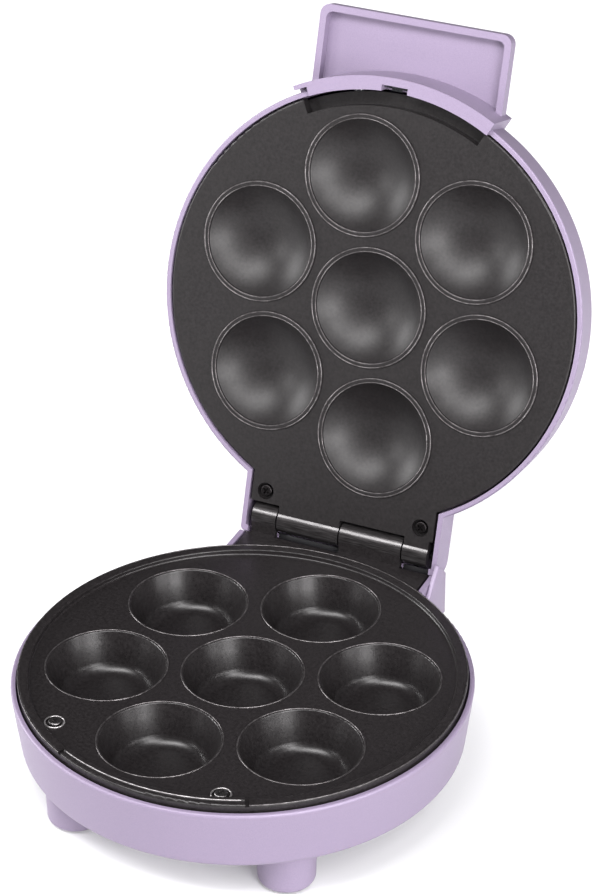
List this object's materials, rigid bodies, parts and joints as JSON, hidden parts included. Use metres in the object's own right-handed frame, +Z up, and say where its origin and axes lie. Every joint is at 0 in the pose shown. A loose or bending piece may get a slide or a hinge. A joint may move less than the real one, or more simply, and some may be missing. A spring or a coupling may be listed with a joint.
{
  "type": "cupcake maker",
  "caption": "Round opened countertop cupcake maker with lilac housings, black cast plates with deep cups and shallow domes, a hinged lid and a paddle handle.",
  "frame": {"origin": "on the surface it stands on, under the middle of the open machine", "axes": "+Z up, +Y to the back where the hinge is, +X to the right seen from the handle side, hinge pin along X"},
  "size_m": [0.1958, 0.2838, 0.2757],
  "materials": {
    "housing_lilac": "pearl satin",
    "pad_rubber": "matt",
    "plate_nonstick": "non-stick coated, satin",
    "screw_dark": "blackened",
    "screw_zinc": "zinc plated",
    "pin_steel": "drawn",
    "clip_steel": "spring steel",
    "element_steel": "dull",
    "reflector_steel": "rolled",
    "ceramic_white": "glazed ceramic",
    "block_nylon": "moulded",
    "lead_sleeve": "glass fibre sleeve",
    "gland_black": "satin",
    "lens_red": "clear tinted",
    "lens_green": "clear tinted"
  },
  "bodies": {
    "base": {"base_shell": "housing_lilac", "foot_front_left": "housing_lilac", "foot_front_right": "housing_lilac", "foot_back_left": "housing_lilac", "foot_back_right": "housing_lilac", "pad_front_left": "pad_rubber", "pad_front_right": "pad_rubber", "pad_back_left": "pad_rubber", "pad_back_right": "pad_rubber", "lower_plate": "plate_nonstick", "plate_screw_left": "screw_dark", "plate_screw_right": "screw_dark", "hinge_pin": "pin_steel", "lower_element": "element_steel", "lower_reflector": "reflector_steel", "thermostat": "ceramic_white", "thermal_fuse": "ceramic_white", "terminal_block": "block_nylon", "lead_left": "lead_sleeve", "lead_right": "lead_sleeve", "cord_gland": "gland_black"},
    "lid": {"lid_shell": "housing_lilac", "lid_handle": "housing_lilac", "upper_plate": "plate_nonstick", "neck_screw_left": "screw_dark", "neck_screw_right": "screw_dark", "handle_screw_left": "screw_zinc", "handle_screw_right": "screw_zinc", "catch_clip": "clip_steel", "upper_element": "element_steel", "upper_reflector": "reflector_steel", "lens_power": "lens_red", "lens_ready": "lens_green", "lamp_holder": "block_nylon"}
  },
  "joints": [
    {"name": "lid_hinge", "type": "hinge", "parent": "base", "child": "lid", "pos_m": [0, 0.06093, 0.057], "axis": [1, 0, 0], "range_deg": [0, 107]}
  ]
}
